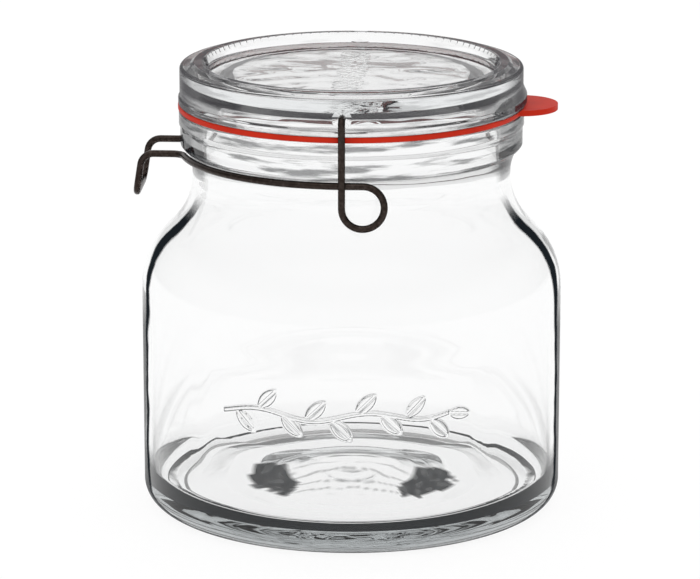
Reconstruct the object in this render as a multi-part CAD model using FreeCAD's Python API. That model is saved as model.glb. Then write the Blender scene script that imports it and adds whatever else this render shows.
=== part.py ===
"""Clip-top storage jar: clear glass jar, glass lid, rubber sealing ring, one-piece wire bail.

Frame: +Z up, origin at the centre of the foot on the surface that the jar stands on.
The pull tab of the sealing ring points to +X, the handle of the bail to -X, and the two
sockets that the bail turns in lie on the Y axis of the lid.  All sizes are millimetres.
"""
import FreeCAD, Part
import math
import os

V = FreeCAD.Vector

# ---- driving dimensions -------------------------------------------------------------
# jar
body_radius = 72.5          # outside of the body
body_top = 76.9             # height where the straight body ends
heel_radius = 8.0           # rounding between body and foot
shoulder_round = 27.5       # convex rounding at the top of the body
shoulder_cove = 25.6        # concave rounding into the neck
shoulder_run = 2.6          # straight stretch between the two
neck_radius = 54.7          # outside of the neck where it is narrowest
neck_length = 9.15          # from there up to the underside of the rim's band
band_underside = 0.4        # flat underside of the band, beyond the flared top of the neck
body_wall = 2.9             # glass thickness of the body, where it is blown out most
neck_wall = 4.0             # glass thickness of the neck
band_height = 13.3          # underside of the band to the flat top of the rim
rim_overhang = 4.5          # bead at the top of the rim, beyond the neck
rim_bead = 4.9              # height of that bead
bead_step = 0.45            # the band below it stands back by this much
band_edge_back = 1.35       # the band's underside edge stands back from the band
rim_edge = 0.9              # rounding of the rim's edges
rim_draft = 0.2             # the bead leans in by this much
foot_width = 6.0            # bearing ring that the jar stands on
foot_recess = 2.2           # underside above the bearing ring
ring_step_in = 10.5         # a small step in the underside, in from the bearing ring
ring_step = 0.8
foot_round = 1.3            # rounding of the foot's inner edges
punt_in = 14.0              # the pushed-up middle, in from that step
punt_height = 3.0           # its rise
floor_height = 7.6          # inside floor next to the wall
floor_crown = 2.0           # it rises this much to the middle
floor_corner = 8.1          # rounding between floor and wall

# sealing ring
gasket_thickness = 1.95
gasket_proud = 0.25         # beyond the rim's bead
gasket_cover = 0.9          # its bore stands back from the mouth
gasket_edge = 0.45          # rounding of its outer edges
tab_half_width = 13.2       # pull tab, half an ellipse
tab_length = 11.25          # its tip beyond the ring
tab_root = 1.5              # its root reaches this far into the ring

# lid
lid_back = 0.35             # wall of the lid, in from the rim's bead
lid_height = 14.25          # sealing face to the top of the stacking ridge
flange_proud = 0.5          # foot of the lid's wall, beyond that wall
flange_height = 2.2
flange_slope = 0.8          # height of the slope from the flange in to the wall
lid_edge = 0.5              # rounding of the lid's lower edges
ledge_width = 4.95          # from the wall in to the stacking ridge
ledge_drop = 1.4            # top of the wall below the top of the ridge
ledge_rise = 0.5            # the ledge rises this much to the foot of the ridge
ledge_round = 1.2
ridge_width = 3.7
ridge_slant = 1.2           # the ridge's outer side leans in by this much
ridge_draft = 0.7           # its inner side leans by this much each way from its middle
ridge_round = 0.6
recess_depth = 3.3          # panel below the ridge
recess_round = 1.0
lid_panel = 5.6             # thickness of that panel
plug_clearance = 0.7        # centring collar inside the mouth
plug_depth = 3.2
plug_width = 5.0
plug_draft = 0.5            # the collar leans in by this much on the outside
plug_round = 0.8
hollow_draft = 1.2          # the hollow over the collar narrows by this much up to the panel
hollow_round = 1.6
lip_proud = 0.8             # thumb lip over the tab, beyond the flange
lip_half_angle = 34.0
lip_height = 4.2
lip_slope = 1.4             # height of the slope from the lip in to the wall
lip_round = 1.15
lip_root = 3.0              # the lip is joined this deep into the lid

# bail
wire = 2.4                  # diameter of the wire
socket_drop = 8.3           # hinge axis below the top of the ridge
socket_mouth = 6.7          # countersink of the socket in the lid
socket_cone = 1.9           # its depth
peg_length = 2.9            # wire inside the socket's bore
peg_clearance = 0.05        # radial running fit of the peg in the bore
peg_end_gap = 0.4
bail_gap = 0.25             # leg to the widest glass or rubber beside it
wire_gap = 0.12             # leg to the wire that crosses behind it
underside_gap = 0.15        # ring wire below the band
swing_gap = 0.15            # ring wire to the band's lower edge as it swings past
leg_bend = 2.6              # bend from peg to leg
loop_radius = 7.0           # spring loops
handle_half_width = 12.0    # half the distance between the two handle wires
handle_root_bend = 5.0
handle_length = 13.3        # grip beyond the ring wire
handle_bend = 4.5
handle_tilt = 9.0           # outward tilt of the turned-down grip, degrees
handle_drop = 14.1          # ring wire down to the grip bar
grip_bend = 4.0

# ---- derived sizes and places -------------------------------------------------------
foot_outer = body_radius - heel_radius
foot_inner = foot_outer - foot_width
ring_step_radius = foot_inner - ring_step_in
punt_radius = ring_step_radius - punt_in
mouth_radius = neck_radius - neck_wall
rim_radius = neck_radius + rim_overhang
band_radius = rim_radius - bead_step
band_edge_radius = band_radius - band_edge_back
flare_radius = band_edge_radius - band_underside
gasket_radius = rim_radius + gasket_proud
gasket_bore = mouth_radius + gasket_cover
lid_radius = rim_radius - lid_back
flange_radius = lid_radius + flange_proud
lip_radius = flange_radius + lip_proud
ridge_outer = lid_radius - ledge_width
ridge_inner = ridge_outer - ridge_width

# The shoulder's slope is where its two roundings and its straight run bridge body and neck.
bend_sum = shoulder_round + shoulder_cove
shoulder_fall = body_radius - neck_radius
shoulder_slope = (math.acos((bend_sum - shoulder_fall) / math.hypot(bend_sum, shoulder_run))
                  - math.atan2(shoulder_run, bend_sum))
slope_reach = math.tan(shoulder_slope / 2)
neck_height = body_top + bend_sum * math.sin(shoulder_slope) + shoulder_run * math.cos(shoulder_slope)
band_bottom = neck_height + neck_length
rim_height = band_bottom + band_height
lid_base = rim_height + gasket_thickness
lid_top = lid_base + lid_height
hinge_height = lid_top - socket_drop
ring_height = band_bottom - underside_gap - wire / 2


class Outline:
    """A closed outline in the XZ plane, drawn with lines and arcs, for turning about Z."""

    def __init__(self, radius, height):
        self.start = V(radius, 0, height)
        self.at = self.start
        self.edges = []

    def line(self, radius, height):
        end = V(radius, 0, height)
        if end.distanceToPoint(self.at) > 1e-6:
            self.edges.append(Part.LineSegment(self.at, end).toShape())
            self.at = end
        return self

    def arc(self, centre, end):
        """The shorter arc about centre from the present point to end, both (radius, height)."""
        c = V(centre[0], 0, centre[1])
        end = V(end[0], 0, end[1])
        size = (self.at - c).Length
        middle = (self.at - c) + (end - c)
        middle.normalize()
        self.edges.append(Part.Arc(self.at, c + middle * size, end).toShape())
        self.at = end
        return self

    def bend(self, corner, towards, radius):
        """Line towards corner, and a round corner of the radius that ends heading towards a point."""
        corner_point = V(corner[0], 0, corner[1])
        back = (self.at - corner_point).normalize()
        ahead = (V(towards[0], 0, towards[1]) - corner_point).normalize()
        half = back.getAngle(ahead) / 2
        tangent = radius / math.tan(half)
        first = corner_point + back * tangent
        last = corner_point + ahead * tangent
        centre = corner_point + (back + ahead).normalize() * (radius / math.sin(half))
        self.line(first.x, first.z)
        return self.arc((centre.x, centre.z), (last.x, last.z))

    def fillet(self, corner, end, radius):
        """A bend round the corner, and a line on to end."""
        return self.bend(corner, end, radius).line(*end)

    def turned(self):
        self.line(self.start.x, self.start.z)
        face = Part.Face(Part.Wire(self.edges))
        solid = face.revolve(V(0, 0, 0), V(0, 0, 1), 360)
        return solid if solid.Volume > 0 else solid.reversed()


def swing_radius():
    """Distance from the hinge axis that the lower edge of the band keeps to."""
    return math.hypot(band_edge_radius, hinge_height - band_bottom)


def make_jar():
    underside = foot_recess + ring_step
    punt_arc = (punt_radius ** 2 + punt_height ** 2) / (2 * punt_height)
    neck_flare = flare_radius - neck_radius
    flare_arc = (neck_length ** 2 + neck_flare ** 2) / (2 * neck_flare)
    edge_top = hinge_height - math.sqrt(swing_radius() ** 2 - band_radius ** 2)
    bore_radius = body_radius - body_wall
    floor_edge = bore_radius - floor_corner
    crown_top = floor_height + floor_crown
    crown_arc = (floor_edge ** 2 + floor_crown ** 2) / (2 * floor_crown)

    # underside, foot and body
    jar = Outline(0, underside + punt_height)
    jar.arc((0, underside + punt_height - punt_arc), (punt_radius, underside))
    jar.fillet((ring_step_radius, underside), (ring_step_radius + ring_step, foot_recess), foot_round)
    jar.fillet((foot_inner - foot_recess, foot_recess), (foot_inner, 0), foot_round)
    jar.line(foot_outer, 0)
    jar.arc((foot_outer, heel_radius), (body_radius, heel_radius))

    # shoulder, neck and the band of the rim
    shoulder_foot = (body_radius, body_top + shoulder_round * slope_reach)
    shoulder_head = (neck_radius, neck_height - shoulder_cove * slope_reach)
    jar.bend(shoulder_foot, shoulder_head, shoulder_round)
    jar.fillet(shoulder_head, (neck_radius, neck_height), shoulder_cove)
    jar.arc((neck_radius + flare_arc, neck_height), (flare_radius, band_bottom))
    jar.line(band_edge_radius, band_bottom)
    jar.arc((0, hinge_height), (band_radius, edge_top))
    jar.line(band_radius, rim_height - rim_bead - bead_step)
    jar.line(rim_radius, rim_height - rim_bead)
    jar.fillet((rim_radius - rim_draft, rim_height), (neck_radius, rim_height), rim_edge)

    # inside, where the wall thins from the neck to the body
    inner_head = (mouth_radius, shoulder_head[1] - neck_wall * slope_reach)
    inner_foot = (bore_radius, shoulder_foot[1] - body_wall * slope_reach)
    jar.bend((mouth_radius, rim_height), inner_head, rim_edge)
    jar.bend(inner_head, inner_foot, shoulder_cove + neck_wall)
    jar.fillet(inner_foot, (bore_radius, floor_height + floor_corner), shoulder_round - body_wall)
    jar.arc((floor_edge, floor_height + floor_corner), (floor_edge, floor_height))
    jar.arc((0, crown_top - crown_arc), (0, crown_top))
    return jar.turned()


def make_gasket():
    middle = rim_height + gasket_thickness / 2
    ring = Outline(gasket_bore, rim_height)
    ring.fillet((gasket_radius, rim_height), (gasket_radius, middle), gasket_edge)
    ring.fillet((gasket_radius, lid_base), (gasket_bore, lid_base), gasket_edge)

    # the tab is half an ellipse whose middle lies where the ring is as wide as the tab
    root = V(math.sqrt(gasket_radius ** 2 - tab_half_width ** 2), 0, rim_height)
    tip = V(gasket_radius + tab_length, 0, rim_height)
    side = root + V(0, tab_half_width, 0)
    longest, shortest = sorted((tip, side), key=lambda end: -end.distanceToPoint(root))
    outline = Part.Face(Part.Wire(Part.Ellipse(longest, shortest, root).toShape()))
    tab = outline.extrude(V(0, 0, gasket_thickness))
    inside = Part.makeCylinder(gasket_radius - tab_root, gasket_thickness, V(0, 0, rim_height))
    return ring.turned().fuse(tab.cut(inside)).removeSplitter()


def make_lid():
    ledge = lid_top - ledge_drop
    panel_top = lid_top - recess_depth
    panel_under = panel_top - lid_panel
    plug_radius = mouth_radius - plug_clearance
    plug_foot = lid_base - plug_depth
    hollow = plug_radius - plug_width

    # hollow underside, centring collar and sealing face
    lid = Outline(0, panel_under)
    lid.fillet((hollow - hollow_draft, panel_under), (hollow, plug_foot + plug_round * 2), hollow_round)
    lid.fillet((hollow, plug_foot), (hollow + plug_width / 2, plug_foot), plug_round)
    lid.fillet((plug_radius - plug_draft, plug_foot), (plug_radius, lid_base), plug_round)

    # flange and wall
    lid.fillet((flange_radius, lid_base), (flange_radius, lid_base + flange_height / 2), lid_edge)
    flange_top = lid_base + flange_height
    lid.fillet((flange_radius, flange_top), (lid_radius, flange_top + flange_slope), lid_edge)

    # ledge, stacking ridge and the recessed panel
    lid.fillet((lid_radius, ledge), (ridge_outer + ridge_slant, ledge + ledge_rise), ledge_round)
    ridge_middle = (ridge_outer + ridge_inner) / 2
    lid.fillet((ridge_outer, lid_top), (ridge_middle, lid_top), ridge_round)
    lid.fillet((ridge_inner + ridge_draft, lid_top), (ridge_inner, lid_top - recess_depth / 2), ridge_round)
    lid.fillet((ridge_inner - ridge_draft, panel_top), (0, panel_top), recess_round)
    return drill_sockets(lid.turned().fuse(make_lip())).removeSplitter()


def make_lip():
    """The thumb lip: the flange grown outwards over an arc on the tab's side."""
    root = flange_radius - lip_root
    lip_top = lid_base + lip_height
    slope_top = lip_top + lip_slope
    lip = Outline(root, lid_base)
    lip.fillet((lip_radius, lid_base), (lip_radius, lid_base + lip_height / 2), lip_round)
    lip.fillet((lip_radius, lip_top), (lid_radius, slope_top), lip_round)
    lip.line(root, slope_top)
    lip.line(root, lid_base)
    face = Part.Face(Part.Wire(lip.edges))
    face.rotate(V(0, 0, 0), V(0, 0, 1), -lip_half_angle)
    return face.revolve(V(0, 0, 0), V(0, 0, 1), 2 * lip_half_angle)


def drill_sockets(lid):
    """A countersink and a blind bore on each side, on the hinge axis."""
    bore_radius = wire / 2 + peg_clearance
    slope = (socket_mouth / 2 - bore_radius) / socket_cone
    past = flange_proud
    depth = peg_length + peg_end_gap
    for side in (-1, 1):
        outward = V(0, side, 0)
        cone_foot = outward * (lid_radius - socket_cone) + V(0, 0, hinge_height)
        cone = Part.makeCone(bore_radius, socket_mouth / 2 + slope * past, socket_cone + past,
                             cone_foot, outward)
        bore = Part.makeCylinder(bore_radius, depth + socket_cone, cone_foot - outward * depth, outward)
        lid = lid.cut(cone).cut(bore)
    return lid


def ring_radius():
    """Centre line of the ring wire: it clears the flared neck, and the band's lower edge as it swings."""
    swing = swing_radius() + swing_gap + wire / 2
    drop = hinge_height - ring_height
    return max(flare_radius + wire_gap + wire / 2, math.sqrt(swing ** 2 - drop ** 2))


def arc_from(start, corner, end):
    """The arc from start to end that touches the lines through corner; both ends are as far from it."""
    half_chord = (end - start) / 2
    middle = start + half_chord
    rise = corner - middle
    half_turn = math.atan2(rise.Length, half_chord.Length)
    sagitta = half_chord.Length * math.tan(half_turn / 2)
    return Part.Arc(start, middle + rise.normalize() * sagitta, end)


def two_bends(start, start_way, end, end_way):
    """Two arcs that leave start along start_way, meet smoothly and reach end along end_way."""
    across = end - start
    ways = start_way + end_way
    spread = 2 * (1 - start_way.dot(end_way))
    along = across.dot(ways)
    reach = (math.sqrt(along ** 2 + spread * across.dot(across)) - along) / spread
    first_corner = start + start_way * reach
    last_corner = end - end_way * reach
    meet = (first_corner + last_corner) / 2
    return [arc_from(start, first_corner, meet), arc_from(meet, last_corner, end)]


def spring_loop(leg, ring, loop_height):
    """Three quarters of a turn that slips inwards, from the foot of the leg to the ring wire."""
    turns = 1.5 * math.pi

    def place(part):
        turn = math.pi + turns * part
        slip = (leg - ring) * (3 * part ** 2 - 2 * part ** 3)
        rise = loop_radius * math.sin(turn)
        return V(loop_radius * (1 + math.cos(turn)), slip - leg, loop_height + rise)

    def way(part):
        turn = math.pi + turns * part
        slip = (leg - ring) * 6 * (part - part ** 2)
        speed = loop_radius * turns
        return V(-speed * math.sin(turn), slip, speed * math.cos(turn)).normalize()

    arcs = []
    for quarter in range(3):
        first = quarter / 3
        last = (quarter + 1) / 3
        arcs += two_bends(place(first), way(first), place(last), way(last))
    return arcs


def bail_route():
    """The wire's centre line on the -Y side, from the peg's end to the middle of the grip bar."""
    ring = ring_radius()
    widest = max(gasket_radius, flange_radius, rim_radius)
    leg = max(widest + bail_gap + wire / 2, ring + wire + wire_gap)
    loop_height = ring_height - loop_radius
    leg_top = hinge_height - leg_bend
    peg_end = lid_radius - socket_cone - peg_length
    line = Part.LineSegment

    # peg, bend, leg and spring loop
    peg = V(0, leg_bend - leg, hinge_height)
    route = [line(V(0, -peg_end, hinge_height), peg)]
    route.append(arc_from(peg, V(0, -leg, hinge_height), V(0, -leg, leg_top)))
    route.append(line(V(0, -leg, leg_top), V(0, -leg, loop_height)))
    route += spring_loop(leg, ring, loop_height)

    # behind the leg, round the neck, and out into the handle
    ring_start = V(0, -ring, ring_height)
    route.append(line(V(loop_radius, -ring, ring_height), ring_start))
    reach = ring + handle_root_bend
    bend_y = -handle_half_width - handle_root_bend
    bend = V(-math.sqrt(reach ** 2 - bend_y ** 2), bend_y, 0)
    ring_end = bend * (ring / reach) + V(0, 0, ring_height)
    half_turn = math.atan2(-bend.x, -bend.y) / 2
    ring_middle = V(-ring * math.sin(half_turn), -ring * math.cos(half_turn), ring_height)
    route.append(Part.Arc(ring_start, ring_middle, ring_end))
    handle_start = V(bend.x, -handle_half_width, ring_height)
    to_handle = (handle_start - ring_end) / 2
    square = V(-bend.y, bend.x, 0).normalize()
    corner = ring_end + square * (to_handle.Length / to_handle.normalize().dot(square))
    route.append(arc_from(ring_end, corner, handle_start))

    # handle wire, its bend down, the side of the grip, its corner and half the grip bar
    tilt = math.radians(handle_tilt)
    along = V(-math.sin(tilt), 0, -math.cos(tilt))
    pivot = V(handle_bend - ring - handle_length, -handle_half_width, ring_height - handle_bend)
    bend_start = pivot + V(0, 0, handle_bend)
    bend_end = pivot + V(-math.cos(tilt), 0, math.sin(tilt)) * handle_bend
    bend_corner = bend_start + V(-handle_bend * math.tan((math.pi / 2 - tilt) / 2), 0, 0)
    route.append(line(handle_start, bend_start))
    route.append(arc_from(bend_start, bend_corner, bend_end))
    low = bend_end + along * ((bend_end.z - ring_height + handle_drop) / math.cos(tilt))
    route.append(line(bend_end, low - along * grip_bend))
    bar_start = low + V(0, grip_bend, 0)
    route.append(arc_from(low - along * grip_bend, low, bar_start))
    route.append(line(bar_start, V(low.x, 0, low.z)))
    return [run.toShape() for run in route]


def wire_along(run):
    """The round wire along one run of its centre line: a rod or a bend."""
    start = run.valueAt(run.FirstParameter)
    section = Part.makeCircle(wire / 2, start, run.tangentAt(run.FirstParameter))
    face = Part.Face(Part.Wire(section))
    if isinstance(run.Curve, Part.Circle):
        turn = math.degrees(run.LastParameter - run.FirstParameter)
        return face.revolve(run.Curve.Center, run.Curve.Axis, turn)
    return face.extrude(run.valueAt(run.LastParameter) - start)


def make_bail():
    runs = [wire_along(run) for run in bail_route()]
    near = runs[0].multiFuse(runs[1:])
    far = near.mirror(V(0, 0, 0), V(0, 1, 0))
    return near.fuse(far).removeSplitter()


def one_solid(shape, name):
    solids = shape.Solids
    if len(solids) != 1 or not shape.isValid():
        raise RuntimeError(name + " is not one valid solid")
    return solids[0]


def main():
    os.makedirs("parts", exist_ok=True)
    pieces = {"jar": make_jar(), "gasket": make_gasket(), "lid": make_lid(), "bail": make_bail()}
    for name, shape in pieces.items():
        solid = one_solid(shape, name)
        solid.exportStep("parts/" + name + ".step")
        box = solid.BoundBox
        print(name, "volume %.1f cm3" % (solid.Volume / 1000),
              "x %.2f..%.2f y %.2f..%.2f z %.2f..%.2f" % (box.XMin, box.XMax, box.YMin, box.YMax,
                                                        box.ZMin, box.ZMax))


main()
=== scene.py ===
"""Clip-top storage jar: the finish of its glass, rubber and wire, and the studio that shows it.

Lengths are metres.  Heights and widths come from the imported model; the +X side has the pull tab,
the -X side the handle of the bail, and the ornament is on the -Y side.
"""

import math
from functools import partial

import bmesh
import bpy
from mathutils import Matrix, Vector, noise


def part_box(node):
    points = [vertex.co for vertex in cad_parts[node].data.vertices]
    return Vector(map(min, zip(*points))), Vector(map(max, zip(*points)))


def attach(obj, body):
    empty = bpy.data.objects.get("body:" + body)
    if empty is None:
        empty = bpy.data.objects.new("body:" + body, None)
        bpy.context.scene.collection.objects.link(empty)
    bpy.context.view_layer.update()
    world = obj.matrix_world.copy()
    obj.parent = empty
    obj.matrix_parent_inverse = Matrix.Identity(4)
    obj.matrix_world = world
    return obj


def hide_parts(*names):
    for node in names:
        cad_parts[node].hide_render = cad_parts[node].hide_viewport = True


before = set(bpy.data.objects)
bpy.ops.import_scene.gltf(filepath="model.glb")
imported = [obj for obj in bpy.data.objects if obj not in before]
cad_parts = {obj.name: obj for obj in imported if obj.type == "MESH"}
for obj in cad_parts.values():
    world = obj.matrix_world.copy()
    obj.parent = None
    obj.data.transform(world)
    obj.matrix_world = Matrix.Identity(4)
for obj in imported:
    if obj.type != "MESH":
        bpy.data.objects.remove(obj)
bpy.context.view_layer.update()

MM = 0.001
TURN = 2 * math.pi

# ---- sizes taken from the model -------------------------------------------------------
jar_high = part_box("jar")[1]
lid_low, lid_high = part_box("lid")
seat_gap = 0.02 * MM            # keeps pressed faces apart, so that the rubber shows through the glass
lid_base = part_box("gasket")[1].z + seat_gap
body_radius = jar_high.x
rim_height = jar_high.z - seat_gap
plug_foot = lid_low.z
lid_top = lid_high.z

# ---- jar ------------------------------------------------------------------------------
body_wall = 2.9 * MM
neck_wall = 4.0 * MM
heel_round = 8.0 * MM
body_top = 76.9 * MM
shoulder_round = 27.5 * MM
shoulder_cove = 25.6 * MM
shoulder_slope = math.radians(45.62)
neck_radius = 54.7 * MM
neck_height = 116.65 * MM
band_bottom = 125.8 * MM
flare_radius = 57.0 * MM
band_edge_radius = 57.4 * MM
band_edge_height = 127.2 * MM
band_radius = 58.75 * MM
bead_bottom = rim_height - 4.9 * MM
bead_step = 0.45 * MM
rim_radius = 59.2 * MM
rim_edge = 0.9 * MM
mouth_radius = neck_radius - neck_wall
foot_inner = 58.5 * MM
foot_recess = 2.2 * MM
step_radius = 48.0 * MM
underside = 3.0 * MM
punt_radius = 34.0 * MM
punt_top = 6.0 * MM
floor_height = 7.6 * MM
floor_crown = 9.6 * MM
floor_corner = 8.1 * MM

# ---- painted shade: dark patches on the jar's floor -----------------------------------
patch_out = 26.5 * MM           # distance of their middles from the YZ plane
patch_middle = -13.0 * MM       # their Y
patch_half_width = 8.5 * MM
patch_half_length = 12.0 * MM
patch_lean = 0.75
shade_line_spacing = 7.0 * MM

# ---- ornament on the jar --------------------------------------------------------------
sprig_middle = 49.0 * MM        # height of its stem
sprig_low = 36.0 * MM           # the wall from here to sprig_high is divided finely
sprig_high = 62.0 * MM
sprig_span = 50.0 * MM          # and this far round the body to either side
sprig_proud = 0.42 * MM
field_half_length = 46.0 * MM   # the sunk field that the sprig stands in
field_half_height = 11.0 * MM
field_fade = 10.0 * MM          # over which the wall comes back to its full radius
relief_edge = 0.7 * MM          # width of the slopes at the sprig's own edges
stem_half_width = 0.95 * MM
stem_start = -42.0 * MM
stem_end = 38.0 * MM
stem_sway = 1.5 * MM
stem_wave = 38.0 * MM
leaf_count = 9
leaf_start = -37.0 * MM
leaf_spacing = 8.4 * MM
leaf_slant = math.radians(44)
leaf_size = (10.5 * MM, 2.5 * MM)       # length and half width
last_leaf_start = 37.0 * MM
last_leaf_slant = math.radians(-8)
last_leaf_size = (9.5 * MM, 2.3 * MM)
rib_outer = 0.75 * MM           # from a leaf's midrib
rib_inner = 0.3 * MM
rib_sunk = 0.65

# ---- lid ------------------------------------------------------------------------------
lid_radius = 58.85 * MM
flange_radius = 59.35 * MM
flange_top = lid_base + 2.2 * MM
ledge = lid_top - 1.4 * MM
ridge_outer = 53.9 * MM
ridge_inner = 50.2 * MM
panel_top = lid_top - 3.3 * MM
panel_under = panel_top - 5.6 * MM
plug_radius = mouth_radius - 0.7 * MM
hollow_radius = plug_radius - 5.0 * MM
lip_radius = 60.15 * MM
lip_top = lid_base + 4.2 * MM
lip_slope_top = lid_base + 5.6 * MM
lip_half_angle = math.radians(34)
hinge_height = lid_top - 8.3 * MM
socket_mouth = 3.35 * MM
socket_bore = 1.25 * MM
socket_cone = 1.9 * MM
socket_depth = 3.3 * MM


def smooth_step(low, high, value):
    part = min(max((value - low) / (high - low), 0.0), 1.0)
    return part * part * (3 - 2 * part)


# ---- painted shade on a glass surface, standing in for the dark surroundings that it shows: the
# ---- amount and reach of its dark skin, the amount where it turns light back inside the glass, the amount
# ---- of the narrow dark lines on its skin and just where it begins to turn light back, and the amount of
# faint grey painted reflections in its skin
bare = (0.0, 0.2, 0.0, 0.0, 0.0)
silhouette = (0.6, 0.225, 0.0, 1.0, 0.0)
inner_wall = (0.0, 0.2, 0.0, 0.0, 0.0)
corner_inside = (0.0, 0.2, 1.0, 1.0, 0.0)
heel_skin = (0.7, 0.25, 0.1, 0.9, 0.0)
foot_skin = (0.0, 0.25, 0.2, 0.0, 0.0)
bore_skin = (0.0, 0.2, 0.55, 0.4, 0.0)
flare_skin = (0.4, 0.4, 0.2, 0.0, 0.0)
band_skin = (0.4, 0.4, 0.2, 0.0, 0.65)
lid_skin = (0.65, 0.52, 0.0, 0.0, 0.3)
ledge_skin = (0.1, 0.25, 0.1, 0.5, 0.1)
ridge_skin = (0.2, 0.25, 0.3, 0.6, 0.1)
hollow_skin = (0.0, 0.3, 0.5, 0.3, 0.0)
hollow_corner = (0.0, 0.3, 0.85, 0.4, 0.0)
punt_skin = (0.0, 0.3, 0.12, 0.0, 0.0)
edge_layers = ("edge_dark", "edge_reach", "edge_trap", "edge_turn", "edge_painted_reflection")


def draw_outline(mesh, corners, arc_step=math.radians(7)):
    """Edges in the XZ plane through corners of (radius, height, rounding, edge finish)."""
    layers = [mesh.verts.layers.float.new(layer) for layer in edge_layers]
    points = [Vector((corner[0], 0, corner[1])) for corner in corners]
    line = []

    def run_to(place, corner):
        line.append(mesh.verts.new(place))
        for layer, value in zip(layers, corner[3]):
            line[-1][layer] = value
        if len(line) > 1:
            mesh.edges.new(line[-2:])

    run_to(points[0], corners[0])
    for index in range(1, len(corners) - 1):
        corner = points[index]
        rounding = corners[index][2]
        if not rounding:
            run_to(corner, corners[index])
            continue
        back = (points[index - 1] - corner).normalized()
        ahead = (points[index + 1] - corner).normalized()
        half = back.angle(ahead) / 2
        run_to(corner + back * (rounding / math.tan(half)), corners[index])
        centre = corner + (back + ahead).normalized() * (rounding / math.sin(half))
        turn = math.pi - 2 * half
        sense = 1 if back.cross(ahead).y < 0 else -1
        arc = bmesh.ops.spin(mesh, geom=[line[-1]], cent=centre, axis=(0, sense, 0), angle=turn,
                             steps=max(2, math.ceil(turn / arc_step)))
        line.append(arc["geom_last"][0])
    run_to(points[-1], corners[-1])


def split_runs(mesh, longest, low=-1.0, high=1.0):
    """Cuts every edge between two heights that is longer than longest into equal shorter ones."""
    by_cuts = {}
    for edge in mesh.edges:
        cuts = math.ceil(edge.calc_length() / longest - 0.01) - 1
        if cuts > 0 and all(low <= vertex.co.z <= high for vertex in edge.verts):
            by_cuts.setdefault(cuts, []).append(edge)
    for cuts, edges in sorted(by_cuts.items()):
        bmesh.ops.subdivide_edges(mesh, edges=edges, cuts=cuts)


def turn_outline(mesh, sectors):
    """Spins the outline in mesh through sectors of (angle, steps) that add up to a full turn."""
    outline = list(mesh.verts) + list(mesh.edges)
    for angle, steps in sectors:
        spun = bmesh.ops.spin(mesh, geom=outline, cent=(0, 0, 0), axis=(0, 0, 1), angle=angle, steps=steps)
        outline = spun["geom_last"]
    bmesh.ops.remove_doubles(mesh, verts=mesh.verts, dist=0.004 * MM)
    bmesh.ops.recalc_face_normals(mesh, faces=mesh.faces)


def finished(mesh, name, material, body):
    """Turns the bmesh into a smooth object that rides on the body."""
    data = bpy.data.meshes.new(name)
    mesh.to_mesh(data)
    mesh.free()
    data.shade_smooth()
    data.materials.append(material)
    piece = bpy.data.objects.new(name, data)
    bpy.context.scene.collection.objects.link(piece)
    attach(piece, body)
    return piece


# ---- jar ------------------------------------------------------------------------------
def leaf_depth(along, up, root, slant, length, width):
    """Depth of a point inside a pointed leaf, negative outside, and its distance from the midrib."""
    half = length / 2
    x = (along - root[0]) * math.cos(slant) + (up - root[1]) * math.sin(slant) - half
    y = abs((up - root[1]) * math.cos(slant) - (along - root[0]) * math.sin(slant))
    round_radius = (half ** 2 + width ** 2) / (2 * width)
    return round_radius - math.hypot(x, y + round_radius - width), y


def stem_height(along):
    return stem_sway * math.sin(along * TURN / stem_wave)


def make_leaves():
    """Root, slant, length and half width of each leaf of the sprig."""
    leaves = []
    for index in range(leaf_count):
        along = leaf_start + leaf_spacing * index
        side = 1 if index % 2 else -1
        leaves.append(((along, stem_height(along)), side * leaf_slant, *leaf_size))
    leaves.append(((last_leaf_start, stem_height(last_leaf_start)), last_leaf_slant, *last_leaf_size))
    return leaves


def sprig_height(along, up, leaves):
    """Height of the raised sprig at a place on the body, from 0 to 1."""
    stem = stem_half_width - abs(up - stem_height(along))
    end = min(along - stem_start, stem_end - along)
    height = smooth_step(0, relief_edge, min(stem, end))
    for root, slant, length, width in leaves:
        if math.hypot(along - root[0], up - root[1]) < length:
            depth, aside = leaf_depth(along, up, root, slant, length, width)
            rib = 1 - rib_sunk * smooth_step(rib_outer, rib_inner, aside)
            height = max(height, smooth_step(0, relief_edge, depth) * rib)
    return height


def emboss_sprig(mesh):
    """Divides the front of the body finely and raises the sprig out of it."""
    reach = mesh.verts.layers.float["edge_reach"]
    turn = mesh.verts.layers.float["edge_turn"]

    def is_front(vertex):
        along = body_radius * math.atan2(vertex.co.x, -vertex.co.y)
        out = math.hypot(vertex.co.x, vertex.co.y) > body_radius - 0.01 * MM
        return out and abs(along) < sprig_span and sprig_low < vertex.co.z < sprig_high

    edges = [edge for edge in mesh.edges if all(is_front(vertex) for vertex in edge.verts)]
    bmesh.ops.subdivide_edges(mesh, edges=edges, cuts=5, use_grid_fill=True)
    leaves = make_leaves()
    nudge = 0.15 * MM
    full_slope = 3.5             # times the change of height over a nudge: 1 on the steepest flanks
    for vertex in mesh.verts:
        if math.hypot(vertex.co.x, vertex.co.y) < body_radius - 0.02 * MM:
            continue
        angle = math.atan2(vertex.co.x, -vertex.co.y)
        along = body_radius * angle
        up = vertex.co.z - sprig_middle
        far = max(abs(along) - field_half_length, abs(up) - field_half_height)
        if far > field_fade:
            continue
        height = sprig_height(along, up, leaves)
        slope = math.hypot(sprig_height(along + nudge, up, leaves) - height,
                           sprig_height(along, up + nudge, leaves) - height)
        sunk = smooth_step(field_fade, 0, far)
        radius = body_radius - sprig_proud * (sunk - height)
        vertex.co.x = radius * math.sin(angle)
        vertex.co.y = -radius * math.cos(angle)
        # painted shade on the sprig's steep flanks: the dark skin reaches further and the narrow dark lines
        # fade
        steep = min(1.0, slope * full_slope)
        vertex[reach] = 0.23 + 0.76 * steep
        vertex[turn] = 1 - 0.25 * steep


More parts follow.
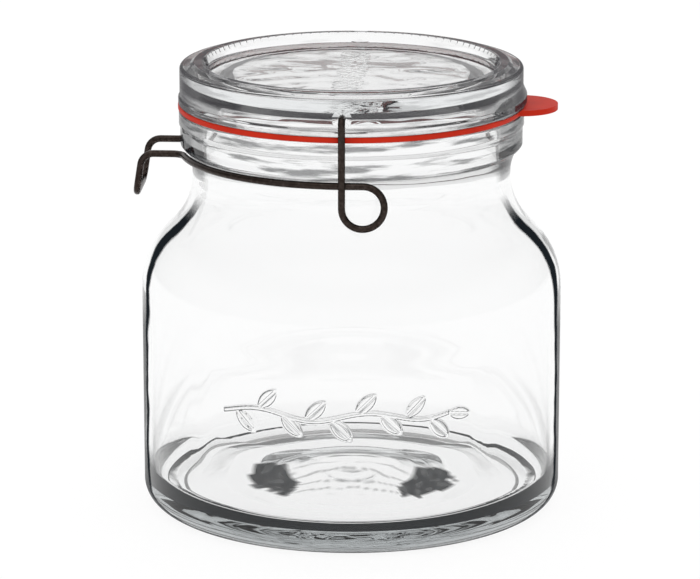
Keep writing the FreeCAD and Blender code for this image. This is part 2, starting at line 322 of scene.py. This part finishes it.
def wave_glass(mesh, amount, size, chosen):
    """Moves the chosen glass in and out along its normals; size is the length of the waves by axis."""
    mesh.normal_update()
    moves = []
    for vertex in mesh.verts:
        share = chosen(vertex)
        if share:
            place = Vector(along / length for along, length in zip(vertex.co, size))
            moves.append((vertex, vertex.normal * (share * amount * noise.noise(place))))
    for vertex, move in moves:
        vertex.co += move


def inner_share(vertex):
    """1 on the inside of the wall, a tenth on the floor, 0 on the outside."""
    if vertex.co.z < floor_height - 0.1 * MM:
        return 0.0
    inward = -(vertex.normal.x * vertex.co.x + vertex.normal.y * vertex.co.y)
    if inward > 0.3 * math.hypot(vertex.co.x, vertex.co.y):
        return 1.0
    return 0.1 if vertex.normal.z > 0.9 and vertex.co.z < floor_crown + 1 * MM else 0.0


def neck_share(vertex):
    """1 on both sides of the neck and band, fading out towards the shoulder and the rim."""
    rise = smooth_step(neck_height - 6 * MM, neck_height + 3 * MM, vertex.co.z)
    return rise * smooth_step(rim_height - 1 * MM, rim_height - 2.5 * MM, vertex.co.z)


def panel_share(vertex):
    """1 on the underside of the lid's panel, more on the wall of its hollow, little elsewhere."""
    if vertex.co.z > ledge + 0.1 * MM or vertex.co.z < lid_base + 0.1 * MM:
        return 0.0
    if abs(vertex.co.z - panel_under) < 0.01 * MM:
        return 1.0
    return 2.4 if math.hypot(vertex.co.x, vertex.co.y) < hollow_radius + 0.3 * MM else 0.15


def ripple_punt(mesh):
    """Rings and unevenness in the pushed-up underside; its painted shade where it turns light back is kept
    only towards two of its sides.
    """
    trap = mesh.verts.layers.float["edge_trap"]
    ring_spacing, ring_depth = 5.5 * MM, 0.03 * MM
    lump_length, lump_depth = 8 * MM, 0.10 * MM
    for vertex in mesh.verts:
        radius = math.hypot(vertex.co.x, vertex.co.y)
        if vertex.co.z > floor_height or radius > punt_radius + 0.5 * MM:
            continue
        fade = smooth_step(punt_radius, punt_radius - 5 * MM, radius)
        rings = math.sin(radius * TURN / ring_spacing)
        uneven = noise.noise(vertex.co / lump_length)
        sideways = abs(vertex.co.x) / max(radius, 1 * MM)
        ends = smooth_step(0.62, 0.86, sideways + 0.25 * uneven) * smooth_step(9 * MM, 15 * MM, radius)
        vertex.co.z += fade * (ring_depth * rings * (1 - ends) + lump_depth * uneven)
        vertex[trap] *= 0.25 + 0.75 * ends


def shade_shoulder(mesh):
    """Turns the painted shade at the body's side edge into a narrow painted dark line that moves inwards up
    the shoulder.
    """
    layers = [mesh.verts.layers.float[layer] for layer in ("edge_dark", "edge_reach", "edge_turn")]
    dark, reach, turn = layers
    mesh.normal_update()
    low, high = body_top - 14 * MM, neck_height - 3 * MM
    for vertex in mesh.verts:
        outward = vertex.normal.x * vertex.co.x + vertex.normal.y * vertex.co.y
        if not low < vertex.co.z < high or outward < 0:
            continue
        rise = (vertex.co.z - low) / (high - low)
        vertex[dark] = silhouette[0] * smooth_step(0.3, 0.0, rise)
        vertex[reach] = silhouette[1] + 0.20 * rise
        vertex[turn] = smooth_step(1.0, 0.8, rise)


def shade_floor(mesh):
    """Painted shade: two ragged dark patches over the sides of the punt, with faint dark lines between
    them.

    They stand in for what light does in the punt, and only show at a low angle.
    """
    dark, reach = [mesh.verts.layers.float[layer] for layer in ("edge_dark", "edge_reach")]
    for vertex in mesh.verts:
        x, y, z = vertex.co
        if vertex.normal.z < 0.9 or not floor_height - 0.1 * MM < z < floor_crown + 0.1 * MM:
            continue
        out = abs(x) - patch_out
        up = y - patch_middle
        uneven = noise.noise(Vector((x, y * 0.5, 0)) / (5 * MM))
        ragged = noise.noise(Vector((x * 0.7, y * 0.3, 0)) / (1.6 * MM))
        outline = math.hypot(out / patch_half_width, (up - patch_lean * out) / patch_half_length)
        outline += 0.5 * uneven + 0.22 * ragged
        patch = smooth_step(1.1, 1.0, outline) * min(1.0, 0.97 + 0.15 * ragged)
        bow = 5 * MM * (x / (18 * MM)) ** 2
        shade_line = max(math.cos((up + bow + 1.5 * MM * uneven) * TURN / shade_line_spacing), 0) ** 6
        shade_line *= smooth_step(23 * MM, 17 * MM, abs(x)) * smooth_step(15 * MM, 11 * MM, abs(up))
        vertex[dark] = max(patch, 0.5 * shade_line)
        vertex[reach] = 0.46


def make_jar(material):
    reach = shoulder_round * math.tan(shoulder_slope / 2)
    cove_reach = shoulder_cove * math.tan(shoulder_slope / 2)
    neck_rise = neck_wall * math.tan(shoulder_slope / 2)
    foot_rise = body_wall * math.tan(shoulder_slope / 2)
    corners = [
        (0, punt_top, 0, punt_skin),
        (punt_radius / 2, punt_top, 60 * MM, punt_skin),
        (punt_radius, underside, 0, punt_skin),
        (punt_radius + 1 * MM, underside, 0, bare),
        (step_radius - 4 * MM, underside, 8 * MM, bare),
        (step_radius + 5 * MM, foot_recess, 8 * MM, bare),
        (foot_inner - 0.6 * MM, foot_recess, 0.5 * MM, foot_skin),
        (foot_inner, 0, 0.6 * MM, foot_skin),
        (body_radius, 0, heel_round, heel_skin),
        (body_radius, heel_round + 6 * MM, 0, silhouette),
        (body_radius, sprig_low - 9 * MM, 0, silhouette),
        (body_radius, sprig_high + 9 * MM, 0, silhouette),
        (body_radius, body_top + reach, shoulder_round, bare),
        (neck_radius, neck_height - cove_reach, shoulder_cove, bare),
        (neck_radius, neck_height + 4.6 * MM, 15 * MM, flare_skin),
        (flare_radius, band_bottom, 0, band_skin),
        (band_edge_radius, band_bottom, 0, band_skin),
        (band_edge_radius + 0.75 * MM, band_bottom + 0.6 * MM, 0.5 * MM, band_skin),
        (band_radius, band_edge_height, 0.5 * MM, band_skin),
        (band_radius, bead_bottom - bead_step, 0, band_skin),
        (rim_radius, bead_bottom, 0, band_skin),
        (rim_radius, rim_height, rim_edge, band_skin),
        (mouth_radius, rim_height, rim_edge, bore_skin),
        (mouth_radius, neck_height + 4 * MM, 0, bore_skin),
        (mouth_radius, neck_height - cove_reach - neck_rise, shoulder_cove + neck_wall, inner_wall),
        (body_radius - body_wall, body_top + reach - foot_rise, shoulder_round - body_wall, inner_wall),
        (body_radius - body_wall, body_top - 12 * MM, 0, inner_wall),
        (body_radius - body_wall, floor_height + floor_corner + 8 * MM, 0, inner_wall),
        (body_radius - body_wall, floor_height, floor_corner, corner_inside),
        (body_radius - body_wall - floor_corner, floor_height, 20 * MM, bare),
        (0, floor_crown, 0, bare),
    ]
    mesh = bmesh.new()
    draw_outline(mesh, corners)
    split_runs(mesh, 1.78 * MM, sprig_low - 9.1 * MM, sprig_high + 9.1 * MM)
    split_runs(mesh, 1.3 * MM, underside, floor_height - 0.01 * MM)
    split_runs(mesh, 2 * MM, floor_height, floor_crown + 0.1 * MM)
    split_runs(mesh, 1.3 * MM, neck_height - 6.1 * MM, rim_height)
    split_runs(mesh, 7 * MM)
    turn_outline(mesh, [(TURN, 256)])
    wave_glass(mesh, 0.06 * MM, (22 * MM, 22 * MM, 22 * MM), inner_share)
    wave_glass(mesh, 0.05 * MM, (12 * MM, 12 * MM, 2.4 * MM), neck_share)
    ripple_punt(mesh)
    shade_shoulder(mesh)
    shade_floor(mesh)
    emboss_sprig(mesh)
    return finished(mesh, "jar_glass", material, "jar")


# ---- lid ------------------------------------------------------------------------------
def press_lip(mesh):
    """Swells the foot of the lid's wall into the thumb lip over the pull tab."""
    for vertex in mesh.verts:
        radius = math.hypot(vertex.co.x, vertex.co.y)
        angle = abs(math.atan2(vertex.co.y, vertex.co.x))
        if radius < lid_radius - 1 * MM or angle > lip_half_angle or vertex.co.z > lip_slope_top:
            continue
        if vertex.co.z < lid_base + 0.01 * MM:
            lip = radius + lip_radius - flange_radius
        else:
            top = smooth_step(lip_slope_top, lip_top - 0.6 * MM, vertex.co.z)
            foot = smooth_step(lid_base - 0.2 * MM, lid_base + 0.9 * MM, vertex.co.z)
            lip = lid_radius + (lip_radius - lid_radius) * top * (0.55 + 0.45 * foot)
        part = smooth_step(lip_half_angle, lip_half_angle - math.radians(7), angle)
        grown = max(radius, radius + (lip - radius) * part)
        vertex.co.x *= grown / radius
        vertex.co.y *= grown / radius


def make_socket_drill(side):
    """The shape of the countersink and blind bore that the bail's peg turns in."""
    mesh = bmesh.new()
    past = 1.2 * MM
    mouth = socket_mouth + past * (socket_mouth - socket_bore) / socket_cone
    foot = lid_radius - socket_cone
    draw_outline(mesh, [(0, foot - socket_depth, 0, bare), (socket_bore, foot - socket_depth, 0, bare),
                        (socket_bore, foot, 0, bare), (mouth, lid_radius + past, 0, bare),
                        (0, lid_radius + past, 0, bare)])
    turn_outline(mesh, [(TURN, 48)])
    bmesh.ops.rotate(mesh, verts=mesh.verts, matrix=Matrix.Rotation(-side * math.pi / 2, 3, "X"))
    bmesh.ops.translate(mesh, verts=mesh.verts, vec=(0, 0, hinge_height))
    data = bpy.data.meshes.new("socket_drill")
    mesh.to_mesh(data)
    mesh.free()
    drill = bpy.data.objects.new("socket_drill", data)
    bpy.context.scene.collection.objects.link(drill)
    return drill


def drill_sockets(piece):
    """Sinks both sockets into the lid's wall and leaves their rims crisp."""
    drills = [make_socket_drill(side) for side in (-1, 1)]
    for drill in drills:
        cut = piece.modifiers.new("socket", "BOOLEAN")
        cut.operation = "DIFFERENCE"
        cut.solver = "EXACT"
        cut.object = drill
    bpy.context.view_layer.update()
    drilled = bpy.data.meshes.new_from_object(piece.evaluated_get(bpy.context.evaluated_depsgraph_get()))
    piece.modifiers.clear()
    piece.data = drilled
    drilled.name = "lid_glass"
    drilled.set_sharp_from_angle(angle=math.radians(35))
    for drill in drills:
        bpy.data.objects.remove(drill)


def make_lid(material):
    corners = [
        (0, panel_under, 0, bare),
        (hollow_radius - 6 * MM, panel_under, 0, bare),
        (hollow_radius - 4.4 * MM, panel_under, 1.0 * MM, hollow_corner),
        (hollow_radius - 1.3 * MM, panel_under - 1.6 * MM, 0.8 * MM, hollow_corner),
        (hollow_radius - 0.7 * MM, panel_under - 3.4 * MM, 0, hollow_skin),
        (hollow_radius, plug_foot, 0.8 * MM, hollow_skin),
        (plug_radius - 0.5 * MM, plug_foot, 0.8 * MM, hollow_skin),
        (plug_radius, lid_base - 0.4 * MM, 0, hollow_skin),
        (plug_radius, lid_base, 0, bare),
        (flange_radius, lid_base, 0.5 * MM, lid_skin),
        (flange_radius, flange_top, 0.5 * MM, lid_skin),
        (lid_radius, flange_top + 0.8 * MM, 0.5 * MM, lid_skin),
        (lid_radius, ledge, 1.2 * MM, lid_skin),
        (lid_radius - 1.6 * MM, ledge + 0.2 * MM, 0, ledge_skin),
        (ridge_outer + 1.2 * MM, ledge + 0.5 * MM, 0.3 * MM, ledge_skin),
        (ridge_outer, lid_top, 0.6 * MM, ridge_skin),
        (ridge_inner + 0.7 * MM, lid_top, 0.6 * MM, ridge_skin),
        (ridge_inner - 0.7 * MM, panel_top, 1.0 * MM, ridge_skin),
        (ridge_inner - 2.2 * MM, panel_top, 0, bare),
        (0, panel_top, 0, bare),
    ]
    mesh = bmesh.new()
    draw_outline(mesh, corners)
    split_runs(mesh, 0.4 * MM, lid_base + 0.4 * MM, lip_slope_top + 1 * MM)
    split_runs(mesh, 4 * MM)
    side = math.radians(84)
    near = math.radians(12)
    turn_outline(mesh, [(side, 60), (near, 36), (2 * side, 120), (near, 36), (side, 60)])
    wave_glass(mesh, 0.05 * MM, (8 * MM, 8 * MM, 4 * MM), panel_share)
    press_lip(mesh)
    lid = finished(mesh, "lid_glass", material, "jar")
    drill_sockets(lid)
    return lid


# ---- materials ------------------------------------------------------------------------
def new_material(name):
    material = bpy.data.materials.new(name)
    material.use_nodes = True
    nodes = material.node_tree.nodes
    return material, nodes, material.node_tree.links, nodes["Principled BSDF"]


def maths(nodes, links, operation, first, second=None, clamp=False):
    """A Math node's output; each operand is a socket or a number."""
    node = nodes.new("ShaderNodeMath")
    node.operation = operation
    node.use_clamp = clamp
    for index, operand in enumerate((first, second)):
        if isinstance(operand, bpy.types.NodeSocket):
            links.new(operand, node.inputs[index])
        elif operand is not None:
            node.inputs[index].default_value = operand
    return node.outputs["Value"]


def noise_of(nodes, links, place, scale, detail):
    """The value of a noise texture over a place."""
    texture = nodes.new("ShaderNodeTexNoise")
    texture.inputs["Scale"].default_value = scale
    texture.inputs["Detail"].default_value = detail
    links.new(place, texture.inputs["Vector"])
    return texture.outputs["Fac"]


def smooth_range(nodes, links, value, low, high):
    """The smooth step of a value, 0 at low and 1 at high; each end is a socket or a number."""
    ramp = nodes.new("ShaderNodeMapRange")
    ramp.interpolation_type = "SMOOTHSTEP"
    links.new(value, ramp.inputs["Value"])
    for name, end in (("From Min", low), ("From Max", high)):
        if isinstance(end, bpy.types.NodeSocket):
            links.new(end, ramp.inputs[name])
        else:
            ramp.inputs[name].default_value = end
    return ramp.outputs["Result"]


def two_tones(nodes, links, value, low, high):
    """A colour that follows a value between two stops of (position, colour)."""
    tone = nodes.new("ShaderNodeValToRGB")
    for element, (position, colour) in zip(tone.color_ramp.elements, (low, high)):
        element.position = position
        element.color = colour
    links.new(value, tone.inputs["Fac"])
    return tone.outputs["Color"]


def distance_of(calculate, x, y):
    """How far (x, y) lies from (0, 0)."""
    return calculate("SQRT", calculate("ADD", calculate("MULTIPLY", x, x), calculate("MULTIPLY", y, y)))


def edge_shade_group():
    """Mask of the painted shade on the glass's grazing edges, from the facing value and the piece's own
    attributes.

    On the outside it paints a skin that goes dark towards the silhouette, a narrow dark line near where
    that skin begins, and faint grey painted reflections drawn out round the piece.  On the inside it paints
    shade where the glass turns light back, and a narrow dark line where it begins to.
    """
    group = bpy.data.node_groups.new("edge_shade", "ShaderNodeTree")
    for name in ("Facing", "Inside", "Soft"):
        group.interface.new_socket(name, in_out="INPUT", socket_type="NodeSocketFloat")
    group.interface.new_socket("Mask", in_out="OUTPUT", socket_type="NodeSocketFloat")
    nodes, links = group.nodes, group.links
    calculate = partial(maths, nodes, links)
    between = partial(smooth_range, nodes, links)
    given = nodes.new("NodeGroupInput")
    result = nodes.new("NodeGroupOutput")
    amounts = []
    for layer in edge_layers:
        attribute = nodes.new("ShaderNodeAttribute")
        attribute.attribute_name = layer
        amounts.append(attribute.outputs["Fac"])
    dark, reach, trap, turn, painted_reflection = amounts
    place = nodes.new("ShaderNodeTexCoord")
    uneven = noise_of(nodes, links, place.outputs["Object"], 60.0, 2.0)
    sway = calculate("MULTIPLY", calculate("SUBTRACT", uneven, 0.5), 0.02)
    facing = given.outputs["Facing"]
    swayed = calculate("ADD", facing, sway)
    wandering = calculate("ADD", facing, calculate("MULTIPLY", sway, 5.0))

    starts = calculate("SUBTRACT", 1.0, reach)
    fills = calculate("SUBTRACT", 1.0, calculate("MULTIPLY", reach, given.outputs["Soft"]))
    skin = calculate("MULTIPLY", between(facing, starts, fills), dark)

    line_edge = 0.03
    line_ends = calculate("SUBTRACT", 1.02, calculate("MULTIPLY", reach, 0.68))
    line = calculate("MULTIPLY",
                     between(wandering, starts, calculate("ADD", starts, line_edge)),
                     between(wandering, line_ends, calculate("SUBTRACT", line_ends, line_edge)))
    line = calculate("MULTIPLY", line, turn)

    # painted reflection: faint grey lines drawn out round the piece, as much as its attribute asks
    stretched = nodes.new("ShaderNodeMapping")
    stretched.inputs["Scale"].default_value = (45.0, 45.0, 420.0)
    links.new(place.outputs["Object"], stretched.inputs["Vector"])
    drawn = noise_of(nodes, links, stretched.outputs["Vector"], 1.0, 3.0)
    drawn_out = calculate("MULTIPLY", between(drawn, 0.48, 0.66), painted_reflection)
    outside = calculate("MAXIMUM", skin, calculate("MAXIMUM", line, drawn_out))

    # glass with an IOR of 1.5 begins to turn light back at a facing value of 0.255
    held = calculate("MULTIPLY", between(facing, 0.246, 0.262), trap)
    begun = calculate("MULTIPLY", between(swayed, 0.243, 0.250), between(swayed, 0.270, 0.260))
    turned = calculate("MULTIPLY", begun, turn)

    chosen = nodes.new("ShaderNodeMix")
    links.new(given.outputs["Inside"], chosen.inputs["Factor"])
    links.new(outside, chosen.inputs["A"])
    links.new(calculate("MAXIMUM", held, turned), chosen.inputs["B"])
    links.new(chosen.outputs["Result"], result.inputs["Mask"])
    return group


def glass(name, edge_shade, edge_soft, painted_shade_colour, murk):
    """Clear glass with painted shade along its grazing edges, where a dark matte shader is mixed in, and
    that dulls a little over long ways inside.
    """
    material, nodes, links, shader = new_material(name)
    shader.inputs["Metallic"].default_value = 0.0
    shader.inputs["Roughness"].default_value = 0.0
    shader.inputs["IOR"].default_value = 1.5
    shader.inputs["Transmission Weight"].default_value = 1.0
    shader.inputs["Base Color"].default_value = (1.0, 1.0, 1.0, 1)

    facing = nodes.new("ShaderNodeLayerWeight")
    facing.inputs["Blend"].default_value = 0.5
    shade = nodes.new("ShaderNodeGroup")
    shade.node_tree = edge_shade
    links.new(facing.outputs["Facing"], shade.inputs["Facing"])
    inside = nodes.new("ShaderNodeNewGeometry")
    links.new(inside.outputs["Backfacing"], shade.inputs["Inside"])
    shade.inputs["Soft"].default_value = edge_soft
    # painted shade: a dark matte shader that the edge mask mixes into the glass
    dark = nodes.new("ShaderNodeBsdfPrincipled")
    dark.inputs["Base Color"].default_value = painted_shade_colour
    dark.inputs["Roughness"].default_value = 0.6
    dark.inputs["Specular IOR Level"].default_value = 0.0
    mixed = nodes.new("ShaderNodeMixShader")
    links.new(shade.outputs["Mask"], mixed.inputs["Fac"])
    links.new(shader.outputs["BSDF"], mixed.inputs[1])
    links.new(dark.outputs["BSDF"], mixed.inputs[2])
    links.new(mixed.outputs["Shader"], nodes["Material Output"].inputs["Surface"])

    depth = nodes.new("ShaderNodeVolumeAbsorption")
    depth.inputs["Color"].default_value = (0.0, 0.08, 0.10, 1)
    depth.inputs["Density"].default_value = murk
    links.new(depth.outputs["Volume"], nodes["Material Output"].inputs["Volume"])
    return material, nodes, links, shader


def bump(nodes, links, shader, height, distance, strength=1.0):
    node = nodes.new("ShaderNodeBump")
    node.inputs["Strength"].default_value = strength
    node.inputs["Distance"].default_value = distance
    links.new(height, node.inputs["Height"])
    links.new(node.outputs["Normal"], shader.inputs["Normal"])


def lid_glass(edge_shade):
    """The lid's glass, with small moulded dots round its ridge and a pebbled strip on its panel."""
    dots, dot_spacing, dot_radius, dot_top = 97, 3.3 * MM, 0.55 * MM, 0.15 * MM
    strip_half_width, strip_half_length, strip_edge = 4.5 * MM, 31 * MM, 1 * MM
    material, nodes, links, shader = glass("lid_glass", edge_shade, edge_soft=0.4,
                                           painted_shade_colour=(0.020, 0.018, 0.026, 1), murk=2.0)
    calculate = partial(maths, nodes, links)
    between = partial(smooth_range, nodes, links)
    place = nodes.new("ShaderNodeTexCoord")
    split = nodes.new("ShaderNodeSeparateXYZ")
    links.new(place.outputs["Object"], split.inputs["Vector"])
    x, y = split.outputs["X"], split.outputs["Y"]
    angle = calculate("ARCTAN2", y, x)
    cell = calculate("FRACT", calculate("MULTIPLY", angle, dots / TURN))
    along = calculate("MULTIPLY", calculate("SUBTRACT", cell, 0.5), dot_spacing)
    aside = calculate("SUBTRACT", distance_of(calculate, x, y), ridge_inner + 0.5 * MM)
    dot = between(distance_of(calculate, along, aside), dot_radius, dot_top)
    pebbles = nodes.new("ShaderNodeTexVoronoi")
    pebbles.inputs["Scale"].default_value = 420.0
    links.new(place.outputs["Object"], pebbles.inputs["Vector"])
    pebble = calculate("SUBTRACT", 0.5, pebbles.outputs["Distance"], clamp=True)
    for across, half in ((x, strip_half_width), (y, strip_half_length)):
        patch = between(calculate("ABSOLUTE", across), half + strip_edge, half - strip_edge)
        pebble = calculate("MULTIPLY", pebble, patch)
    bump(nodes, links, shader, calculate("ADD", dot, pebble), 0.45 * MM)
    return material


def rubber():
    """Orange-red rubber with a fine moulded grain and painted shade, a darker maroon, where it is pressed
    between the glass.
    """
    pressed_radius, pressed_edge = 59.0 * MM, 0.2 * MM
    material, nodes, links, shader = new_material("orange_rubber")
    place = nodes.new("ShaderNodeTexCoord")
    grain = noise_of(nodes, links, place.outputs["Object"], 2600.0, 3.0)
    cloud = noise_of(nodes, links, place.outputs["Object"], 90.0, 4.0)
    tone = two_tones(nodes, links, cloud, (0.3, (0.52, 0.016, 0.002, 1)), (0.7, (0.62, 0.024, 0.004, 1)))
    split = nodes.new("ShaderNodeSeparateXYZ")
    links.new(place.outputs["Object"], split.inputs["Vector"])
    radius = distance_of(partial(maths, nodes, links), split.outputs["X"], split.outputs["Y"])
    pressed = nodes.new("ShaderNodeMapRange")
    pressed.inputs["From Min"].default_value = pressed_radius + pressed_edge
    pressed.inputs["From Max"].default_value = pressed_radius - pressed_edge
    links.new(radius, pressed.inputs["Value"])
    # painted shade: dark maroon on the faces pressed between the glass
    painted_shade_mix = nodes.new("ShaderNodeMix")
    painted_shade_mix.data_type = "RGBA"
    painted_shade_mix.inputs["B"].default_value = (0.20, 0.014, 0.010, 1)
    links.new(pressed.outputs["Result"], painted_shade_mix.inputs["Factor"])
    links.new(tone, painted_shade_mix.inputs["A"])
    links.new(painted_shade_mix.outputs["Result"], shader.inputs["Base Color"])
    shader.inputs["Roughness"].default_value = 0.55
    shader.inputs["Specular IOR Level"].default_value = 0.15
    bump(nodes, links, shader, grain, 0.03 * MM, 0.6)
    return material


def dark_wire():
    """Dark steel wire with the faint unevenness of its drawn and blackened skin."""
    material, nodes, links, shader = new_material("dark_steel_wire")
    place = nodes.new("ShaderNodeTexCoord")
    skin = noise_of(nodes, links, place.outputs["Object"], 900.0, 4.0)
    tone = two_tones(nodes, links, skin, (0.35, (0.026, 0.019, 0.016, 1)), (0.7, (0.055, 0.043, 0.038, 1)))
    links.new(tone, shader.inputs["Base Color"])
    shader.inputs["Metallic"].default_value = 1.0
    gloss = nodes.new("ShaderNodeMapRange")
    gloss.inputs["To Min"].default_value = 0.16
    gloss.inputs["To Max"].default_value = 0.34
    links.new(skin, gloss.inputs["Value"])
    links.new(gloss.outputs["Result"], shader.inputs["Roughness"])
    bump(nodes, links, shader, skin, 0.02 * MM, 0.5)
    return material


edge_shade = edge_shade_group()
jar_glass = glass("clear_glass", edge_shade, edge_soft=0.75, painted_shade_colour=(0.014, 0.018, 0.022, 1), murk=5.0)
jar = make_jar(jar_glass[0])
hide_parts("jar")
lid = make_lid(lid_glass(edge_shade))
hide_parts("lid")

for name, material in (("gasket", rubber()), ("bail", dark_wire())):
    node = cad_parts[name]
    node.data.materials.clear()
    node.data.materials.append(material)
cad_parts["bail"].visible_transmission = False     # the glass does not show it


# ---- studio ---------------------------------------------------------------------------
def make_floor():
    mesh = bmesh.new()
    bmesh.ops.create_circle(mesh, cap_ends=True, segments=128, radius=4.0)
    data = bpy.data.meshes.new("floor")
    mesh.to_mesh(data)
    mesh.free()
    material, nodes, links, shader = new_material("pale_floor")
    shader.inputs["Base Color"].default_value = (0.12, 0.12, 0.12, 1)
    shader.inputs["Roughness"].default_value = 1.0
    shader.inputs["Specular IOR Level"].default_value = 0.0
    shader.inputs["Emission Color"].default_value = (1.0, 1.0, 1.0, 1)
    shader.inputs["Emission Strength"].default_value = 0.9
    data.materials.append(material)
    floor = bpy.data.objects.new("floor", data)
    floor.location.z = -0.05 * MM
    bpy.context.scene.collection.objects.link(floor)


def elevation_light(nodes, links, height, stops, strength=None):
    """A background whose brightness changes with elevation, from (height, brightness) stops."""
    ramp = nodes.new("ShaderNodeValToRGB")
    links.new(height, ramp.inputs["Fac"])
    elements = ramp.color_ramp.elements
    elements[0].position, elements[1].position = stops[0][0], stops[-1][0]
    for position, _ in stops[1:-1]:
        elements.new(position)
    for element, (_, value) in zip(elements, stops):
        element.color = (value, value, value, 1)
    light = nodes.new("ShaderNodeBackground")
    links.new(ramp.outputs["Color"], light.inputs["Color"])
    if strength:
        links.new(strength, light.inputs["Strength"])
    return light.outputs["Background"]


def make_world():
    """Pale all round, in four versions for the four ways of seeing it.

    The camera sees it even.  Rubber, wire and floor are lit by a soft version with a bright
    ceiling, brighter towards the front and back.  Light that came straight through glass sees it
    go dark above.  Sharp reflections see it even and dimmer.
    """
    side_light, added_light = 0.4, 0.7      # at the sides, and what the front and back have more
    world = bpy.data.worlds.new("studio")
    world.use_nodes = True
    nodes, links = world.node_tree.nodes, world.node_tree.links
    calculate = partial(maths, nodes, links)
    place = nodes.new("ShaderNodeTexCoord")
    split = nodes.new("ShaderNodeSeparateXYZ")
    links.new(place.outputs["Generated"], split.inputs["Vector"])
    height = split.outputs["Z"]
    frontal = calculate("MULTIPLY", calculate("ABSOLUTE", split.outputs["Y"]), added_light)
    strength = calculate("ADD", frontal, side_light)
    soft = elevation_light(nodes, links, height,
                           [(0.0, 0.8), (0.5, 0.8), (0.8, 1.7), (1.0, 2.6)], strength)
    clear = elevation_light(nodes, links, height, [(0.0, 0.82), (0.36, 0.82), (0.66, 0.38),
                                                   (0.86, 0.38), (0.97, 0.7), (1.0, 0.7)])
    mirrored = elevation_light(nodes, links, height, [(0.0, 0.7), (1.0, 0.65)])
    seen = elevation_light(nodes, links, height, [(0.0, 1.02), (1.0, 1.02)])
    path = nodes.new("ShaderNodeLightPath")
    straight = calculate("SUBTRACT", path.outputs["Is Singular Ray"], path.outputs["Diffuse Depth"],
                         clamp=True)
    sharp = calculate("MULTIPLY", straight, path.outputs["Is Reflection Ray"])
    above = soft
    for ray, light in ((straight, clear), (sharp, mirrored), (path.outputs["Is Camera Ray"], seen)):
        choose = nodes.new("ShaderNodeMixShader")
        links.new(ray, choose.inputs["Fac"])
        links.new(above, choose.inputs[1])
        links.new(light, choose.inputs[2])
        above = choose.outputs["Shader"]
    links.new(above, nodes["World Output"].inputs["Surface"])
    nodes.remove(nodes["Background"])
    bpy.context.scene.world = world


def make_camera():
    data = bpy.data.cameras.new("camera")
    data.lens = 199.03
    data.sensor_width = 36
    data.shift_x = -0.00214
    data.clip_end = 50
    camera = bpy.data.objects.new("camera", data)
    azimuth = math.radians(3.1)
    pitch = math.radians(14.58)
    distance = 1.3
    height = 0.4124
    camera.location = (distance * math.sin(azimuth), -distance * math.cos(azimuth), height)
    camera.rotation_euler = (math.pi / 2 - pitch, 0, azimuth)
    bpy.context.scene.collection.objects.link(camera)
    bpy.context.scene.camera = camera


make_floor()
make_world()
make_camera()

scene = bpy.context.scene
scene.view_settings.view_transform = "Standard"
scene.cycles.use_denoising = True
scene.cycles.max_bounces = 32
scene.cycles.transmission_bounces = 24
scene.cycles.glossy_bounces = 12
scene.cycles.transparent_max_bounces = 16
